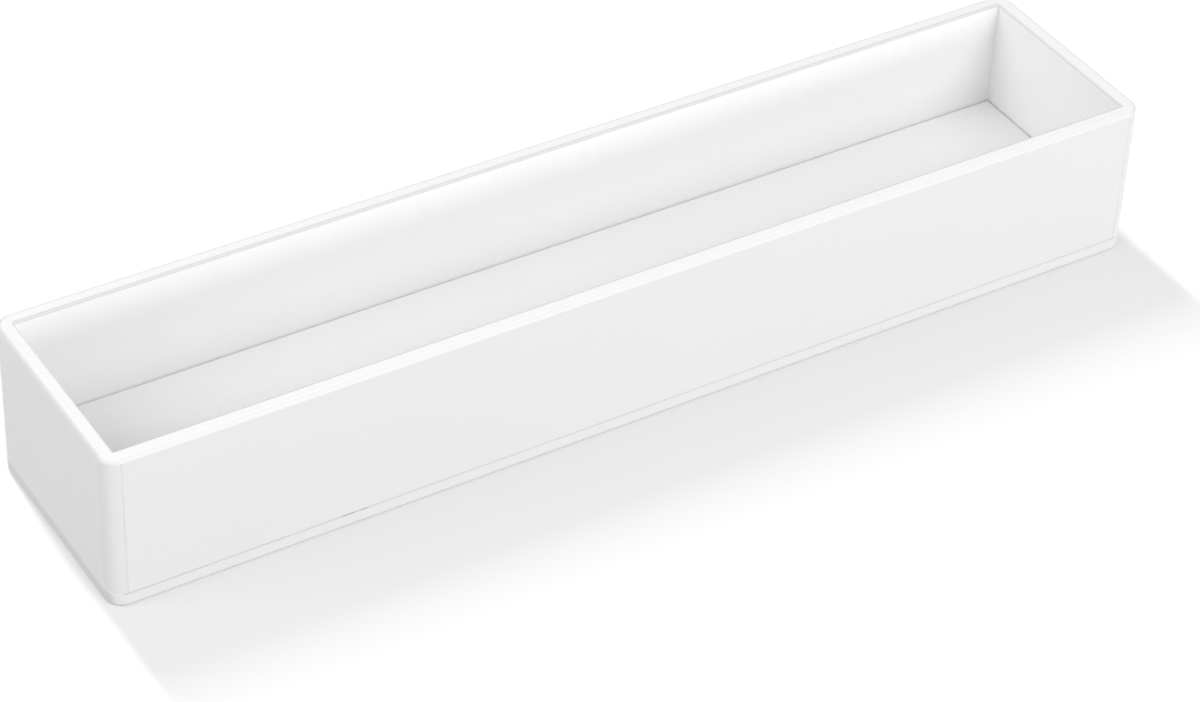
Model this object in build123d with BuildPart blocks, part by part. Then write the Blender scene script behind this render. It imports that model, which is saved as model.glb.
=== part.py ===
# A long open tray for a toothbrush, glued up from flat sheets of white acrylic.
# Four walls stand on a base sheet, and a raised floor lies on two rails inside them.
# Millimetres. X runs along the tray, Y from front to back, Z up.
# The origin is the middle of the underside, on the surface that the tray stands on.

from build123d import *

import math
import os

# Outside of the tray
length = 220.0
width = 46.0
height = 33.0

# Every piece is cut from sheet of one thickness
sheet = 3.0

# The glued-up box is rounded as one: this is the radius of its four upright edges in plan
corner_radius = 3.5

# Rounding of the rim towards the outside and towards the inside
rim_outer_round = 0.8
rim_inner_round = 0.4

# Rounding of the lowest edge, all round the base sheet
underside_round = 0.8

# Bevel on each of the two edges that meet at an outside seam
seam_ease = 0.2

# Rails under the raised floor, stood on edge: their height, and how far each end stops short
rail_height = 4.0
rail_inset = 1.0

# Gap between the raised floor and each wall, which the loose-cut sheet needs to go in
floor_clearance = 0.15

# Bevel on the upper edge of the raised floor
floor_ease = 0.2

# Room inside the walls
inner_length = length - 2 * sheet
inner_width = width - 2 * sheet

# Levels, from the surface that the tray stands on
wall_foot = sheet
rail_foot = sheet
floor_underside = rail_foot + rail_height

# Places of the seams between an end panel and a long panel
seam_x = inner_length / 2
# The rounded corner may reach past the seam, and has then drawn the face in by this much there
past_seam = max(corner_radius - sheet, 0.0)
drawn_in = corner_radius - math.sqrt(corner_radius**2 - past_seam**2)
seam_y = width / 2 - drawn_in

os.makedirs("parts", exist_ok=True)


# Base sheet: the full footprint, with the walls standing on it
with BuildPart() as base_sheet:
    with BuildSketch():
        RectangleRounded(length, width, corner_radius)
    extrude(amount=sheet)
    underside = base_sheet.faces().sort_by(Axis.Z)[0]
    fillet(underside.edges(), radius=underside_round)
    upper_face = base_sheet.faces().sort_by(Axis.Z)[-1]
    chamfer(upper_face.edges(), length=seam_ease)
base_sheet.part.label = "base_sheet"
export_step(base_sheet.part, "parts/base_sheet.step")


# The four walls as they stand when glued up, rounded and eased in one go
with BuildPart() as glued_walls:
    with BuildSketch(Plane.XY.offset(wall_foot)):
        RectangleRounded(length, width, corner_radius)
        Rectangle(inner_length, inner_width, mode=Mode.SUBTRACT)
    extrude(amount=height - wall_foot)

    rim = glued_walls.faces().sort_by(Axis.Z)[-1]
    fillet(rim.outer_wire().edges(), radius=rim_outer_round)
    rim = glued_walls.faces().sort_by(Axis.Z)[-1]
    fillet(rim.inner_wires()[0].edges(), radius=rim_inner_round)
    foot = glued_walls.faces().sort_by(Axis.Z)[0]
    chamfer(foot.outer_wire().edges(), length=seam_ease)

    # Upright seams: a fine V that is shared by the two panels, up to where the rim rounds over
    with BuildSketch(Plane.XY.offset(wall_foot)):
        with GridLocations(2 * seam_x, 2 * seam_y, 2, 2):
            Rectangle(seam_ease * math.sqrt(2), seam_ease * math.sqrt(2), rotation=45)
    extrude(amount=height - rim_outer_round - wall_foot, mode=Mode.SUBTRACT)


# End panels: full depth of the tray, so they carry nearly all of the rounded upright edges
for side, name in ((-1, "left_end_panel"), (1, "right_end_panel")):
    with BuildPart() as end_panel:
        add(glued_walls.part)
        outwards = Plane.YZ if side > 0 else -Plane.YZ
        split(bisect_by=outwards.offset(seam_x), keep=Keep.TOP)
    end_panel.part.label = name
    export_step(end_panel.part, f"parts/{name}.step")


# Long panels: butted between the end panels, with the last of the rounding at each end
for side, name in ((-1, "front_panel"), (1, "back_panel")):
    with BuildPart() as long_panel:
        add(glued_walls.part)
        split(bisect_by=Plane.YZ.offset(seam_x), keep=Keep.BOTTOM)
        split(bisect_by=Plane.YZ.offset(-seam_x), keep=Keep.TOP)
        outwards = Plane.XZ if side < 0 else -Plane.XZ
        split(bisect_by=outwards, keep=Keep.TOP)
    long_panel.part.label = name
    export_step(long_panel.part, f"parts/{name}.step")


# Floor rails: strips of the same sheet stood on edge on the base, one against each long wall
rail_length = inner_length - 2 * rail_inset
rail_y = (inner_width - sheet) / 2
for side, name in ((-1, "front_floor_rail"), (1, "back_floor_rail")):
    with BuildPart() as floor_rail:
        with BuildSketch(Plane.XY.offset(rail_foot)):
            with Locations((0, side * rail_y)):
                Rectangle(rail_length, sheet)
        extrude(amount=rail_height)
    floor_rail.part.label = name
    export_step(floor_rail.part, f"parts/{name}.step")


# Floor sheet: the raised bottom that shows inside, lying on both rails
with BuildPart() as floor_sheet:
    with BuildSketch(Plane.XY.offset(floor_underside)):
        Rectangle(inner_length - 2 * floor_clearance, inner_width - 2 * floor_clearance)
    extrude(amount=sheet)
    upper_face = floor_sheet.faces().sort_by(Axis.Z)[-1]
    chamfer(upper_face.edges(), length=floor_ease)
floor_sheet.part.label = "floor_sheet"
export_step(floor_sheet.part, "parts/floor_sheet.step")
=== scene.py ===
# A toothbrush tray of white acrylic sheet: its finishes, its cemented seams and a plain studio.
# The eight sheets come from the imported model, in metres, with X along the tray and Z up.

import math

import bmesh
import bpy
from bpy.props import FloatProperty, FloatVectorProperty, PointerProperty
from bpy.types import Operator, Panel, PropertyGroup
from mathutils import Matrix, Vector


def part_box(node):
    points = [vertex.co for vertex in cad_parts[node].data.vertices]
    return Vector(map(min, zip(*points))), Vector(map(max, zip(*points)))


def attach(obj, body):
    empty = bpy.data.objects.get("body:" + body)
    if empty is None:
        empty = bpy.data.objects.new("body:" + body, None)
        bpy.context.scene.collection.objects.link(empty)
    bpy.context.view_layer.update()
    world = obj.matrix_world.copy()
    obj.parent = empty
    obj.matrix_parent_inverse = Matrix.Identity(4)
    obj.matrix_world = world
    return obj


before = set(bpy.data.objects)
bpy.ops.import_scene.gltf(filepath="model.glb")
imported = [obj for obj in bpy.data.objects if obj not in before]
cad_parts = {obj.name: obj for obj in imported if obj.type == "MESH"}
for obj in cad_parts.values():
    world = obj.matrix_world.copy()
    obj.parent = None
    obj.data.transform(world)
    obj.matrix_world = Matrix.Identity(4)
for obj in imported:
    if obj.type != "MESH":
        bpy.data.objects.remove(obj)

bl_info = {
    "name": "Acrylic Toothbrush Tray",
    "version": (1, 0, 0),
    "blender": (4, 5, 0),
    "location": "3D View > Sidebar > Tray",
    "description": "Finishes a tray of cemented acrylic sheet and sets up a plain studio",
    "category": "Object",
}

MM = 0.001
BODY = "root"

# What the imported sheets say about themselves
TRAY_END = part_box("base_sheet")[1].x
TRAY_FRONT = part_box("base_sheet")[0].y
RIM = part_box("front_panel")[1].z
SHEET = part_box("base_sheet")[1].z
SEAM_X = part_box("front_panel")[1].x
SEAM_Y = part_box("left_end_panel")[1].y
INSIDE_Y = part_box("back_panel")[0].y

# Rounding of the tray in plan and at its rim, and bevel on the two edges that meet at a seam
CORNER_RADIUS = 3.5 * MM
RIM_OUTER_ROUND = 0.8 * MM
SEAM_EASE = 0.2 * MM

# Refractive index of acrylic, and so of its cement, and the roughness of the dried cement
ACRYLIC_IOR = 1.49
CEMENT_ROUGHNESS = 0.4

# How far apart the features of each pattern are, in millimetres
HAZE_SIZE = 22
TOOTH_SIZE = 0.8
PIGMENT_SIZE = 60
WAVE_SIZE = 30
PATCH_SIZE = 9

# How far each pattern swings: roughness up and down, tones as factors, and a depth
HAZE_SWING = 0.08
TOOTH_TONE = (0.96, 1.04)
PIGMENT_TONE = (0.985, 1.01)
PATCH_TONE = (0.9, 1.1)
LEFTWARD_TONE = (0.92, 1.0)
WAVE_DEPTH = 0.04 * MM

# Depths below the top of the rim: where the scraped finish starts and is full, where the grey
# shoulder is full, and where the shoulder starts to rise out of the face and is full
SCRAPED_FADE = (0.6 * MM, 0.1 * MM)
SHOULDER_TOP = 0.06 * MM
SHOULDER_FOOT = (0.72 * MM, 0.35 * MM)

# Distances from the inner edge of a long rim between which the burnished line fades in
ARRIS_FADE = (0.6 * MM, 0.3 * MM)

# Angles round a corner of the base sheet, and heights, between which its painted end shade fades
# in
END_SHADE_TURN = (math.radians(40), math.radians(65))
END_SHADE_RISE = (0.05 * MM, 0.3 * MM)

# Distances past the upright seams between which the low seam fades into the polished ends
POLISHED_FADE = (0.2 * MM, 1.2 * MM)

# Strip of cement: its width, the spacing of its points, the length of a rise, the share of its
# width that an upright one keeps at the bottom of the groove, and the segments round a corner
CEMENT_BAND = 0.6 * MM
CEMENT_STEP = 1.6 * MM
RIPPLE_LENGTH = 4 * MM
GROOVE_BOTTOM = 0.15
CORNER_SEGMENTS = 10

# Specks of dust in the low seam, 45 mm from the left seam: their middles and half lengths
SPECKS = ((-64.4 * MM, 1.2 * MM), (-63.0 * MM, 1.3 * MM), (-60.6 * MM, 1.3 * MM))

# What lies nearer than this to a middle line counts as lying on it
ON_LINE = 0.1 * MM

# Edges that fold by more than this stay sharp
SMOOTH_ANGLE = math.radians(40)

# Studio: width of the floor in metres, width of the camera's sensor in millimetres, and the
# nearest and farthest that it sees in metres
FLOOR_SIZE = 8.0
SENSOR_WIDTH = 36.0
CLIP_START, CLIP_END = 0.01, 20.0

# The Mix node's colour sockets, which share their names with its sockets for numbers
COLOUR_A, COLOUR_B, COLOUR_RESULT = 6, 7, 2


def linear(hex_colour):
    """Turns an sRGB hex colour into the linear colour that Blender works in."""
    channels = [int(hex_colour[i:i + 2], 16) / 255 for i in (0, 2, 4)]
    return tuple(
        c / 12.92 if c <= 0.04045 else ((c + 0.055) / 1.055) ** 2.4 for c in channels
    ) + (1.0,)


def per_metre(size_mm):
    """Scale of a pattern on Object coordinates with features this many millimetres apart."""
    return 1000.0 / size_mm


class SheetSettings(PropertyGroup):
    """Opal cast acrylic sheet."""

    face_colour: FloatVectorProperty(
        name="Face", description="Colour of the sheet's faces",
        default=linear("E8E8E8"), size=4, min=0, max=1, subtype="COLOR")
    rim_colour: FloatVectorProperty(
        name="Rim", description="Colour of the scraped edges round the rim",
        default=linear("E7E7E7"), size=4, min=0, max=1, subtype="COLOR")
    shoulder_colour: FloatVectorProperty(
        name="Shoulder", description="Colour of the rounding between a scraped edge and a face",
        default=linear("D5D5D5"), size=4, min=0, max=1, subtype="COLOR")
    # Painted shade on the base sheet's two ends
    end_shade_colour: FloatVectorProperty(
        name="Painted end shade",
        description="Colour of the base sheet's two ends, painted darker as shade",
        default=linear("D8D8D8"), size=4, min=0, max=1, subtype="COLOR")
    arris_colour: FloatVectorProperty(
        name="Arris", description="Colour of the fine line along the inner edge of a long rim",
        default=linear("C6C6C6"), size=4, min=0, max=1, subtype="COLOR")
    face_roughness: FloatProperty(
        name="Face roughness", description="Roughness of the sheet's satin faces",
        default=0.36, min=0, max=1, subtype="FACTOR")
    rim_roughness: FloatProperty(
        name="Rim roughness", description="Roughness of the scraped edges",
        default=0.5, min=0, max=1, subtype="FACTOR")


class CementSettings(PropertyGroup):
    """Solvent cement in the seams."""

    low_colour: FloatVectorProperty(
        name="Low seam", description="Colour of the dried cement between walls and base sheet",
        default=linear("D2D2D2"), size=4, min=0, max=1, subtype="COLOR")
    upright_colour: FloatVectorProperty(
        name="Upright seams", description="Colour of the dried cement beside the end panels",
        default=linear("E1E1E1"), size=4, min=0, max=1, subtype="COLOR")
    polished_colour: FloatVectorProperty(
        name="Polished", description="Colour of the cement where it was polished with the ends",
        default=linear("E5E5E5"), size=4, min=0, max=1, subtype="COLOR")
    dust_colour: FloatVectorProperty(
        name="Dust", description="Colour of a place where the cement caught dust",
        default=linear("B2B2B2"), size=4, min=0, max=1, subtype="COLOR")
    depth: FloatProperty(
        name="Depth", description="How far the cement lies below the face of the sheets",
        default=0.05 * MM, min=0, max=SEAM_EASE, precision=5, subtype="DISTANCE", unit="LENGTH")
    unevenness: FloatProperty(
        name="Unevenness", description="How much the cement rises and falls along a seam",
        default=0.04 * MM, min=0, max=SEAM_EASE, precision=5, subtype="DISTANCE", unit="LENGTH")


class StudioSettings(PropertyGroup):
    """Floor, light and camera."""

    floor_colour: FloatVectorProperty(
        name="Floor", description="Colour of the floor under its glow, as the camera sees it",
        default=linear("717171"), size=4, min=0, max=1, subtype="COLOR")
    floor_glow: FloatProperty(
        name="Floor glow",
        description="White that the camera sees in the floor where no light falls",
        default=0.58, min=0, max=1, subtype="FACTOR")
    floor_bounce: FloatProperty(
        name="Floor bounce", description="White that the floor throws up at the tray",
        default=0.12, min=0, max=1, subtype="FACTOR")
    room_strength: FloatProperty(
        name="Room", description="Strength of the even light from all round",
        default=0.64, min=0)
    front_power: FloatProperty(
        name="Front softbox", description="Power of the soft light in front of the tray",
        default=12.2, min=0, subtype="POWER", unit="POWER")
    low_power: FloatProperty(
        name="Low softbox", description="Power of the soft light low in front of the tray",
        default=5.8, min=0, subtype="POWER", unit="POWER")
    left_power: FloatProperty(
        name="Left softbox", description="Power of the soft light on the left",
        default=7.5, min=0, subtype="POWER", unit="POWER")
    shadow_power: FloatProperty(
        name="Shadow strip",
        description="Power of the strip light that is flagged off all but the floor",
        default=130.0, min=0, subtype="POWER", unit="POWER")
    lens: FloatProperty(
        name="Lens", description="Focal length of the camera",
        default=114.46, min=1, unit="CAMERA")
    azimuth: FloatProperty(
        name="Azimuth", description="Where the camera stands round the tray",
        default=math.radians(-33.06), subtype="ANGLE", unit="ROTATION")
    elevation: FloatProperty(
        name="Elevation", description="How high the camera stands above the floor",
        default=math.radians(38.43), subtype="ANGLE", unit="ROTATION")
    roll: FloatProperty(
        name="Roll", description="Turn of the camera about its own line of sight",
        default=math.radians(2.66), subtype="ANGLE", unit="ROTATION")
    distance: FloatProperty(
        name="Distance", description="From the camera to the point that it looks at",
        default=706.0 * MM, min=0.01, subtype="DISTANCE", unit="LENGTH")
    target: FloatVectorProperty(
        name="Target", description="The point that the camera looks at",
        default=(-4.96 * MM, -12.13 * MM, 10.0 * MM), size=3, subtype="XYZ", unit="LENGTH")


def add(tree, kind, inputs=None, **settings):
    """Adds a node, sets its properties, and gives its inputs a number, a colour or a link."""
    made = tree.nodes.new(kind)
    for name, value in settings.items():
        setattr(made, name, value)
    for name, value in (inputs or {}).items():
        if isinstance(value, bpy.types.NodeSocket):
            tree.links.new(value, made.inputs[name])
        else:
            made.inputs[name].default_value = value
    return made


def new_material(name):
    """An empty material that is made of nodes."""
    material = bpy.data.materials.new(name)
    material.use_nodes = True
    material.node_tree.nodes.clear()
    return material


def select_only(piece):
    """Deselects everything, then selects this piece and makes it the active one."""
    bpy.ops.object.select_all(action="DESELECT")
    piece.select_set(True)
    bpy.context.view_layer.objects.active = piece


def select_where(piece, keep, mode):
    """In edit mode, selects the edges or vertices whose middle passes a test."""
    bpy.ops.mesh.select_mode(type=mode)
    bpy.ops.mesh.select_all(action="DESELECT")
    shape = bmesh.from_edit_mesh(piece.data)
    for part in {"EDGE": shape.edges, "VERT": shape.verts}[mode]:
        corners = [part.co] if mode == "VERT" else [corner.co for corner in part.verts]
        part.select_set(keep(sum(corners, Vector()) / len(corners)))
    bmesh.update_edit_mesh(piece.data)


def settle(piece, material):
    """Leaves a piece at the origin with outward faces and a finish, riding on the tray."""
    select_only(piece)
    bpy.ops.object.transform_apply(location=True, rotation=True, scale=True)
    bpy.ops.object.mode_set(mode="EDIT")
    bpy.ops.mesh.select_all(action="SELECT")
    bpy.ops.mesh.normals_make_consistent(inside=False)
    bpy.ops.object.mode_set(mode="OBJECT")
    bpy.ops.object.shade_smooth_by_angle(angle=SMOOTH_ANGLE)
    piece.data.materials.clear()
    piece.data.materials.append(material)
    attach(piece, BODY)


def ripple(piece, amount, size):
    """Pushes the selected vertices in and out along their normals, softly and unevenly."""
    bpy.ops.object.vertex_group_assign_new()
    bpy.ops.object.mode_set(mode="OBJECT")
    cloud = bpy.data.textures.new(piece.name + "_ripple", type="CLOUDS")
    cloud.noise_scale = size
    press = piece.modifiers.new("ripple", "DISPLACE")
    press.texture = cloud
    press.texture_coords = "LOCAL"
    press.vertex_group = piece.vertex_groups[-1].name
    press.mid_level = 0.5
    press.strength = amount
    bpy.ops.object.modifier_apply(modifier=press.name)


def acrylic_material(name, settings, rim=False, arris=False, shaded_ends=False):
    """Opal cast acrylic: an even white under a satin gloss."""
    material = new_material(name)
    tree = material.node_tree
    place = add(tree, "ShaderNodeTexCoord").outputs["Object"]
    height = add(tree, "ShaderNodeSeparateXYZ", {"Vector": place}).outputs["Z"]
    colour = settings.face_colour
    # Handling leaves a faint haze on the satin
    haze = add(tree, "ShaderNodeTexNoise", {
        "Vector": place, "Scale": per_metre(HAZE_SIZE), "Detail": 3.0, "Roughness": 0.55})
    roughness = add(tree, "ShaderNodeMapRange", {
        "Value": haze.outputs["Fac"], "To Min": settings.face_roughness - HAZE_SWING,
        "To Max": settings.face_roughness + HAZE_SWING}).outputs["Result"]

    if rim:
        # A scraper leaves the cut edges duller than the faces, with a fine tooth.
        # Its marks are under 0.1 mm, and are drawn 0.8 mm apart so that they show
        cut = add(tree, "ShaderNodeMapRange", {
            "Value": height,
            "From Min": RIM - SCRAPED_FADE[0], "From Max": RIM - SCRAPED_FADE[1]},
            interpolation_type="SMOOTHSTEP").outputs["Result"]
        tooth = add(tree, "ShaderNodeTexNoise", {
            "Vector": place, "Scale": per_metre(TOOTH_SIZE), "Detail": 2.0, "Roughness": 0.6})
        grain = add(tree, "ShaderNodeMapRange", {
            "Value": tooth.outputs["Fac"], "To Min": TOOTH_TONE[0], "To Max": TOOTH_TONE[1]})
        scraped = add(tree, "ShaderNodeVectorMath", {
            0: settings.rim_colour[:3], "Scale": grain.outputs["Result"]}, operation="SCALE")
        colour = add(tree, "ShaderNodeMix", {
            "Factor": cut, COLOUR_A: colour, COLOUR_B: scraped.outputs["Vector"]},
            data_type="RGBA").outputs[COLOUR_RESULT]
        # Where the rounding runs out into a face, a little grey is mixed into the colour
        below_top = add(tree, "ShaderNodeMapRange", {
            "Value": height, "From Min": RIM, "From Max": RIM - SHOULDER_TOP},
            interpolation_type="SMOOTHSTEP")
        above_face = add(tree, "ShaderNodeMapRange", {
            "Value": height,
            "From Min": RIM - SHOULDER_FOOT[0], "From Max": RIM - SHOULDER_FOOT[1]},
            interpolation_type="SMOOTHSTEP")
        shoulder = add(tree, "ShaderNodeMath", {
            0: below_top.outputs["Result"], 1: above_face.outputs["Result"]},
            operation="MULTIPLY").outputs[0]
        colour = add(tree, "ShaderNodeMix", {
            "Factor": shoulder, COLOUR_A: colour, COLOUR_B: settings.shoulder_colour},
            data_type="RGBA").outputs[COLOUR_RESULT]
        roughness = add(tree, "ShaderNodeMix", {
            "Factor": cut, "A": roughness, "B": settings.rim_roughness},
            data_type="FLOAT").outputs["Result"]

    if arris:
        # Along the inner edge of a long rim, a fine grey line is mixed into the colour
        folded = add(tree, "ShaderNodeVectorMath", {0: place}, operation="ABSOLUTE")
        flat = add(tree, "ShaderNodeVectorMath", {
            0: folded.outputs["Vector"], 1: (0.0, 1.0, 1.0)}, operation="MULTIPLY")
        away = add(tree, "ShaderNodeVectorMath", {
            0: flat.outputs["Vector"], 1: (0.0, INSIDE_Y, RIM)}, operation="DISTANCE")
        line = add(tree, "ShaderNodeMapRange", {
            "Value": away.outputs["Value"],
            "From Min": ARRIS_FADE[0], "From Max": ARRIS_FADE[1]},
            interpolation_type="SMOOTHSTEP").outputs["Result"]
        colour = add(tree, "ShaderNodeMix", {
            "Factor": line, COLOUR_A: colour, COLOUR_B: settings.arris_colour},
            data_type="RGBA").outputs[COLOUR_RESULT]

    if shaded_ends:
        # The base sheet's two ends are painted darker than its long edges, as shade.
        # The painted shade fades out half way round each corner
        folded = add(tree, "ShaderNodeVectorMath", {0: place}, operation="ABSOLUTE")
        past = add(tree, "ShaderNodeVectorMath", {
            0: folded.outputs["Vector"],
            1: (TRAY_END - CORNER_RADIUS, -TRAY_FRONT - CORNER_RADIUS, 0.0)},
            operation="SUBTRACT")
        past = add(tree, "ShaderNodeVectorMath", {
            0: past.outputs["Vector"], 1: (0.0, 0.0, 0.0)}, operation="MAXIMUM")
        past = add(tree, "ShaderNodeSeparateXYZ", {"Vector": past.outputs["Vector"]}).outputs
        round_corner = add(
            tree, "ShaderNodeMath", {0: past["X"], 1: past["Y"]}, operation="ARCTAN2")
        end = add(tree, "ShaderNodeMapRange", {
            "Value": round_corner.outputs[0],
            "From Min": END_SHADE_TURN[0], "From Max": END_SHADE_TURN[1]},
            interpolation_type="SMOOTHSTEP").outputs["Result"]
        above_underside = add(tree, "ShaderNodeMapRange", {
            "Value": height, "From Min": END_SHADE_RISE[0], "From Max": END_SHADE_RISE[1]},
            interpolation_type="SMOOTHSTEP").outputs["Result"]
        end = add(tree, "ShaderNodeMath", {
            0: end, 1: above_underside}, operation="MULTIPLY").outputs[0]
        colour = add(tree, "ShaderNodeMix", {
            "Factor": end, COLOUR_A: colour, COLOUR_B: settings.end_shade_colour},
            data_type="RGBA").outputs[COLOUR_RESULT]

    # Pigment isn't spread quite evenly through a cast sheet
    cloud = add(tree, "ShaderNodeTexNoise", {
        "Vector": place, "Scale": per_metre(PIGMENT_SIZE), "Detail": 2.0, "Roughness": 0.5})
    tone = add(tree, "ShaderNodeMapRange", {
        "Value": cloud.outputs["Fac"], "To Min": PIGMENT_TONE[0], "To Max": PIGMENT_TONE[1]})
    if not isinstance(colour, bpy.types.NodeSocket):
        colour = colour[:3]
    toned = add(tree, "ShaderNodeVectorMath", {
        0: colour, "Scale": tone.outputs["Result"]}, operation="SCALE")
    wave = add(tree, "ShaderNodeTexNoise", {
        "Vector": place, "Scale": per_metre(WAVE_SIZE), "Detail": 0.0})
    waviness = add(tree, "ShaderNodeBump", {
        "Height": wave.outputs["Fac"], "Strength": 1.0, "Distance": WAVE_DEPTH})
    shader = add(tree, "ShaderNodeBsdfPrincipled", {
        "Base Color": toned.outputs["Vector"], "Roughness": roughness,
        "Normal": waviness.outputs["Normal"], "IOR": ACRYLIC_IOR})
    add(tree, "ShaderNodeOutputMaterial", {"Surface": shader.outputs["BSDF"]})
    return material


def cement_material(name, settings, colour, is_low_seam=False, specks=()):
    """Dried solvent cement: sheet let down with solvent, so a slightly greyer line."""
    material = new_material(name)
    tree = material.node_tree
    place = add(tree, "ShaderNodeTexCoord").outputs["Object"]
    patch = add(tree, "ShaderNodeTexNoise", {
        "Vector": place, "Scale": per_metre(PATCH_SIZE), "Detail": 3.0, "Roughness": 0.6})
    tone = add(tree, "ShaderNodeMapRange", {
        "Value": patch.outputs["Fac"],
        "To Min": PATCH_TONE[0], "To Max": PATCH_TONE[1]}).outputs["Result"]
    shade = colour[:3]

    if is_low_seam:
        # The line is made darker towards the left
        along = add(tree, "ShaderNodeSeparateXYZ", {"Vector": place}).outputs["X"]
        thick = add(tree, "ShaderNodeMapRange", {
            "Value": along, "From Min": -SEAM_X, "From Max": -SEAM_X / 3,
            "To Min": LEFTWARD_TONE[0], "To Max": LEFTWARD_TONE[1]})
        tone = add(tree, "ShaderNodeMath", {
            0: thick.outputs["Result"], 1: tone}, operation="MULTIPLY").outputs[0]
    shade = add(tree, "ShaderNodeVectorMath", {
        0: shade, "Scale": tone}, operation="SCALE").outputs["Vector"]
    if is_low_seam:
        # On the ends and round the corners the cement was polished flush with the sheets
        end = add(tree, "ShaderNodeMath", {0: along}, operation="ABSOLUTE")
        polished = add(tree, "ShaderNodeMapRange", {
            "Value": end.outputs[0],
            "From Min": SEAM_X + POLISHED_FADE[0], "From Max": SEAM_X + POLISHED_FADE[1]},
            interpolation_type="SMOOTHSTEP").outputs["Result"]
        shade = add(tree, "ShaderNodeMix", {
            "Factor": polished, COLOUR_A: shade, COLOUR_B: settings.polished_colour},
            data_type="RGBA").outputs[COLOUR_RESULT]
    for middle, half in specks:
        off = add(tree, "ShaderNodeMath", {0: along, 1: middle}, operation="SUBTRACT")
        off = add(tree, "ShaderNodeMath", {0: off.outputs[0]}, operation="ABSOLUTE")
        speck = add(tree, "ShaderNodeMapRange", {
            "Value": off.outputs[0], "From Min": half, "From Max": 0.0},
            interpolation_type="SMOOTHSTEP").outputs["Result"]
        shade = add(tree, "ShaderNodeMix", {
            "Factor": speck, COLOUR_A: shade, COLOUR_B: settings.dust_colour},
            data_type="RGBA").outputs[COLOUR_RESULT]

    shader = add(tree, "ShaderNodeBsdfPrincipled", {
        "Base Color": shade, "Roughness": CEMENT_ROUGHNESS, "IOR": ACRYLIC_IOR})
    add(tree, "ShaderNodeOutputMaterial", {"Surface": shader.outputs["BSDF"]})
    return material


class TRAY_OT_finish_sheets(Operator):
    """Gives each sheet of the tray its acrylic finish"""

    bl_idname = "tray.finish_sheets"
    bl_label = "Finish Sheets"

    def execute(self, context):
        settings = context.scene.tray_sheet
        end_finish = acrylic_material("cast_acrylic_scraped_rim", settings, rim=True)
        long_finish = acrylic_material(
            "cast_acrylic_scraped_arris", settings, rim=True, arris=True)
        # The base sheet carries painted shade on its two ends
        base_finish = acrylic_material("cast_acrylic_painted_end_shade", settings, shaded_ends=True)
        plain_finish = acrylic_material("cast_acrylic_plain", settings)
        for names, finish in (
                (("left_end_panel", "right_end_panel"), end_finish),
                (("front_panel", "back_panel"), long_finish),
                (("base_sheet",), base_finish),
                (("floor_sheet", "front_floor_rail", "back_floor_rail"), plain_finish)):
            for name in names:
                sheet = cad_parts[name]
                sheet.data.materials.clear()
                sheet.data.materials.append(finish)
        return {"FINISHED"}


class TRAY_OT_cement_low_seam(Operator):
    """Runs solvent cement round the seam between the walls and the base sheet"""

    bl_idname = "tray.cement_low_seam"
    bl_label = "Cement Low Seam"

    def execute(self, context):
        settings = context.scene.tray_cement
        depth = settings.depth
        length, width = 2 * TRAY_END, -2 * TRAY_FRONT

        bpy.ops.object.select_all(action="DESELECT")
        bpy.ops.mesh.primitive_plane_add(size=1.0, location=(0.0, 0.0, SHEET - SEAM_EASE))
        seam = bpy.context.object
        seam.name = "cement_low_seam"
        bpy.ops.object.mode_set(mode="EDIT")
        bpy.ops.mesh.select_all(action="SELECT")
        bpy.ops.transform.resize(value=(length, width, 1.0))
        bpy.ops.mesh.bevel(
            offset=CORNER_RADIUS, offset_type="OFFSET", segments=CORNER_SEGMENTS,
            affect="VERTICES")
        # Points along the straight runs, so that the cement can rise and fall
        select_where(seam, lambda p: abs(p.x) < ON_LINE, "EDGE")
        bpy.ops.mesh.subdivide(number_cuts=round(length / CEMENT_STEP))
        select_where(seam, lambda p: abs(p.y) < ON_LINE, "EDGE")
        bpy.ops.mesh.subdivide(number_cuts=round(width / CEMENT_STEP))
        bpy.ops.mesh.select_mode(type="FACE")
        bpy.ops.mesh.select_all(action="SELECT")
        bpy.ops.mesh.inset(thickness=CEMENT_BAND)
        bpy.ops.mesh.delete(type="FACE")
        bpy.ops.mesh.select_all(action="SELECT")
        bpy.ops.mesh.extrude_region_move(
            TRANSFORM_OT_translate={"value": (0.0, 0.0, 2 * SEAM_EASE - depth)})

        def upper_outside(p):
            inner_end, inner_side = (length - CEMENT_BAND) / 2, (width - CEMENT_BAND) / 2
            corner = CORNER_RADIUS - CEMENT_BAND / 2
            past_x = max(abs(p.x) - inner_end + corner, 0.0)
            past_y = max(abs(p.y) - inner_side + corner, 0.0)
            # In the piece's own frame, whose origin lies at the bottom of the groove
            return p.z > SEAM_EASE / 2 and math.hypot(past_x, past_y) > corner

        # The cement sank: it is flush with the base sheet and draws back under the walls
        select_where(seam, upper_outside, "VERT")
        bpy.ops.transform.resize(value=(1 - 2 * depth / length, 1 - 2 * depth / width, 1.0))
        ripple(seam, settings.unevenness, RIPPLE_LENGTH)
        settle(seam, cement_material(
            "solvent_cement_low_seam_line", settings, settings.low_colour, is_low_seam=True, specks=SPECKS))
        return {"FINISHED"}


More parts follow.
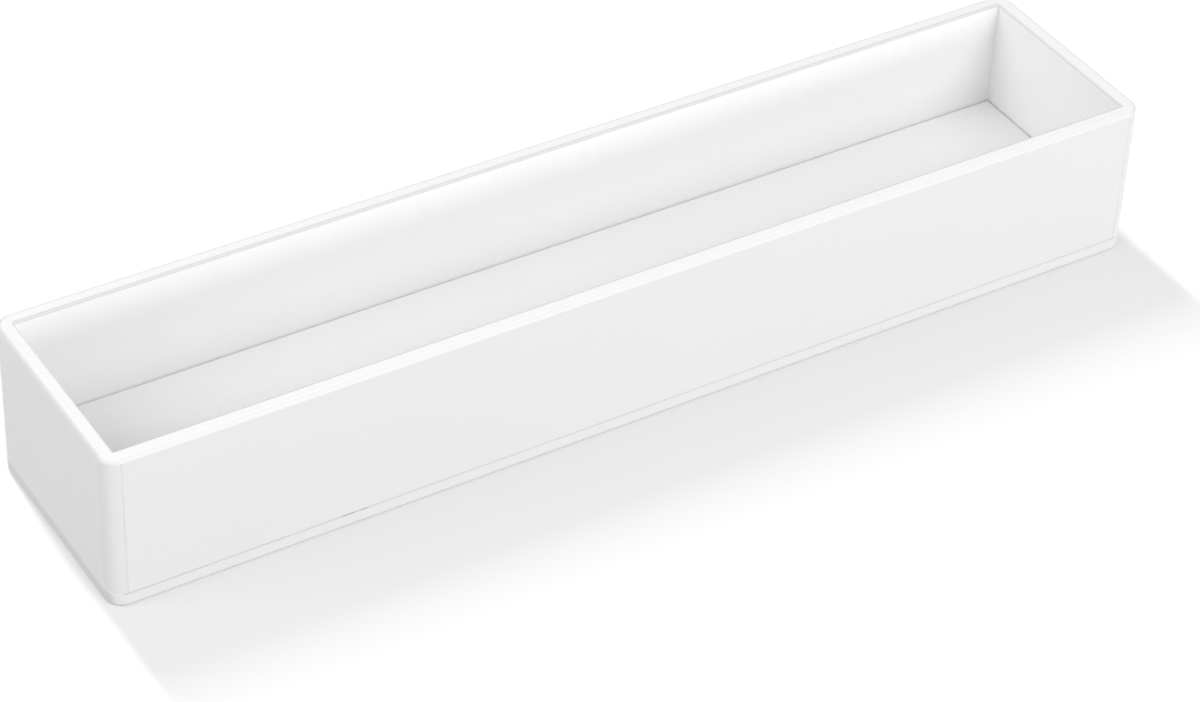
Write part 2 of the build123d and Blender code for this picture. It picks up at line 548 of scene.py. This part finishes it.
class TRAY_OT_cement_upright_seams(Operator):
    """Runs solvent cement down the four seams between the long panels and the end panels"""

    bl_idname = "tray.cement_upright_seams"
    bl_label = "Cement Upright Seams"

    def execute(self, context):
        settings = context.scene.tray_cement
        depth = settings.depth
        reach = SEAM_EASE - depth
        low, high = SHEET + SEAM_EASE, RIM - RIM_OUTER_ROUND

        bpy.ops.object.select_all(action="DESELECT")
        bpy.ops.mesh.primitive_cube_add(
            size=1.0, location=(SEAM_X, -SEAM_Y + depth + reach / 2, (low + high) / 2))
        first = bpy.context.object
        first.name = "cement_front_right"
        bpy.ops.object.mode_set(mode="EDIT")
        bpy.ops.mesh.select_all(action="SELECT")
        bpy.ops.transform.resize(value=(2 * reach, reach, high - low))
        # Narrow towards the bottom of the groove
        select_where(first, lambda p: p.y > 0, "VERT")
        bpy.ops.transform.resize(value=(GROOVE_BOTTOM, 1.0, 1.0))
        select_where(first, lambda p: abs(p.z) < ON_LINE, "EDGE")
        bpy.ops.mesh.subdivide(number_cuts=round((high - low) / CEMENT_STEP))
        select_where(first, lambda p: p.y < 0, "VERT")
        ripple(first, settings.unevenness, RIPPLE_LENGTH)
        finish = cement_material("solvent_cement_clean", settings, settings.upright_colour)

        placed = [first]
        for name, across, turn in (
                ("cement_front_left", -2 * SEAM_X, 0.0),
                ("cement_back_left", 0.0, math.pi),
                ("cement_back_right", -2 * SEAM_X, math.pi)):
            select_only(first)
            bpy.ops.object.duplicate(linked=False)
            copy = bpy.context.object
            copy.name = name
            bpy.ops.transform.translate(value=(across, 0.0, 0.0))
            bpy.ops.transform.rotate(
                value=turn, orient_axis="Z", center_override=(0.0, 0.0, 0.0))
            placed.append(copy)
        for seam in placed:
            settle(seam, finish)
        return {"FINISHED"}


class TRAY_OT_set_studio(Operator):
    """Adds the floor, the lights and the camera"""

    bl_idname = "tray.set_studio"
    bl_label = "Set Up Studio"

    def execute(self, context):
        settings = context.scene.tray_studio
        floor = self.lay_floor(settings)
        self.light_room(context, settings)
        self.hang_lights(settings, floor)
        self.place_camera(context, settings)
        return {"FINISHED"}

    def lay_floor(self, settings):
        bpy.ops.mesh.primitive_plane_add(size=FLOOR_SIZE)
        floor = bpy.context.object
        floor.name = "studio_floor"
        # Matt paper has no sheen, so the floor shows the tray's shadow and nothing else.
        # What looks at it sees the lit paper and a glow, and the tray gets an even white from it
        paper = new_material("matt_paper")
        tree = paper.node_tree
        seen = add(tree, "ShaderNodeLightPath").outputs
        bounced = add(tree, "ShaderNodeEmission", {
            "Color": linear("FFFFFF"), "Strength": settings.floor_bounce})
        lit = add(tree, "ShaderNodeBsdfDiffuse", {"Color": settings.floor_colour})
        glow = add(tree, "ShaderNodeEmission", {
            "Color": linear("FFFFFF"), "Strength": settings.floor_glow})
        shown = add(tree, "ShaderNodeAddShader", {0: lit.outputs[0], 1: glow.outputs[0]})
        looked_at = add(tree, "ShaderNodeMath", {
            0: seen["Is Camera Ray"], 1: seen["Is Glossy Ray"]}, operation="MAXIMUM")
        looked_at = add(tree, "ShaderNodeMath", {
            0: looked_at.outputs[0], 1: seen["Is Transmission Ray"]}, operation="MAXIMUM")
        mixed = add(tree, "ShaderNodeMixShader", {
            "Fac": looked_at.outputs[0], 1: bounced.outputs[0], 2: shown.outputs[0]})
        add(tree, "ShaderNodeOutputMaterial", {"Surface": mixed.outputs[0]})
        floor.data.materials.append(paper)
        return floor

    def light_room(self, context, settings):
        room = bpy.data.worlds.new("studio_room")
        context.scene.world = room
        room.use_nodes = True
        tree = room.node_tree
        tree.nodes.clear()
        seen = add(tree, "ShaderNodeLightPath").outputs
        light = add(tree, "ShaderNodeBackground", {
            "Color": linear("FFFFFF"), "Strength": settings.room_strength})
        white = add(tree, "ShaderNodeBackground", {"Color": linear("FFFFFF"), "Strength": 1.0})
        mixed = add(tree, "ShaderNodeMixShader", {
            "Fac": seen["Is Camera Ray"], 1: light.outputs[0], 2: white.outputs[0]})
        add(tree, "ShaderNodeOutputWorld", {"Surface": mixed.outputs[0]})

    def hang_lights(self, settings, floor):
        aim = Vector((0.0, 0.0, 0.02))
        # Each lamp's name, power, place, and size across and along
        for name, power, place, across, along in (
                ("front_softbox", settings.front_power, (0.3, -1.18, 0.9), 1.0, 0.8),
                ("low_softbox", settings.low_power, (0.35, -1.36, 0.15), 1.2, 0.25),
                ("left_softbox", settings.left_power, (-1.0, 0.1, 0.7), 0.8, 1.0),
                ("shadow_strip", settings.shadow_power, (-0.03, 1.66, 1.83), 0.12, 1.27)):
            bpy.ops.object.light_add(type="AREA", location=place)
            lamp = bpy.context.object
            lamp.name = name
            lamp.rotation_euler = (aim - Vector(place)).to_track_quat("-Z", "Y").to_euler()
            lamp.data.shape = "RECTANGLE"
            lamp.data.size = across
            lamp.data.size_y = along
            lamp.data.energy = power
        # The strip that draws the shadow is kept off the tray and lights the floor alone
        floor_alone = bpy.data.collections.new("floor_alone")
        floor_alone.objects.link(floor)
        bpy.data.objects["shadow_strip"].light_linking.receiver_collection = floor_alone

    def place_camera(self, context, settings):
        a, e, r = settings.azimuth, settings.elevation, settings.roll
        back = Vector((math.sin(a) * math.cos(e), -math.cos(a) * math.cos(e), math.sin(e)))
        level = Vector((math.cos(a), math.sin(a), 0.0))
        upright = back.cross(level)
        right = level * math.cos(r) + upright * math.sin(r)
        up = upright * math.cos(r) - level * math.sin(r)
        place = Vector(settings.target) + back * settings.distance
        bpy.ops.object.camera_add()
        camera = bpy.context.object
        camera.name = "studio_camera"
        camera.matrix_world = Matrix((
            (right.x, up.x, back.x, place.x),
            (right.y, up.y, back.y, place.y),
            (right.z, up.z, back.z, place.z),
            (0.0, 0.0, 0.0, 1.0)))
        camera.data.lens = settings.lens
        camera.data.sensor_width = SENSOR_WIDTH
        camera.data.sensor_fit = "HORIZONTAL"
        camera.data.clip_start = CLIP_START
        camera.data.clip_end = CLIP_END
        context.scene.camera = camera
        context.scene.view_settings.view_transform = "Standard"


class TRAY_PT_sidebar(Panel):
    """Lists the steps that dress the tray"""

    bl_idname = "TRAY_PT_sidebar"
    bl_label = "Toothbrush Tray"
    bl_space_type = "VIEW_3D"
    bl_region_type = "UI"
    bl_category = "Tray"

    def draw(self, context):
        for step in STEPS:
            self.layout.operator(step.bl_idname)


STEPS = (
    TRAY_OT_finish_sheets,
    TRAY_OT_cement_low_seam,
    TRAY_OT_cement_upright_seams,
    TRAY_OT_set_studio,
)
GROUPS = {
    "tray_sheet": SheetSettings,
    "tray_cement": CementSettings,
    "tray_studio": StudioSettings,
}
CLASSES = (*GROUPS.values(), *STEPS, TRAY_PT_sidebar)


def register():
    for each in CLASSES:
        bpy.utils.register_class(each)
    for name, group in GROUPS.items():
        setattr(bpy.types.Scene, name, PointerProperty(type=group))


def unregister():
    for name in GROUPS:
        delattr(bpy.types.Scene, name)
    for each in reversed(CLASSES):
        bpy.utils.unregister_class(each)


def main():
    register()
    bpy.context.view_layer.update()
    bpy.ops.tray.finish_sheets()
    bpy.ops.tray.cement_low_seam()
    bpy.ops.tray.cement_upright_seams()
    bpy.ops.tray.set_studio()


if __name__ == "__main__":
    main()
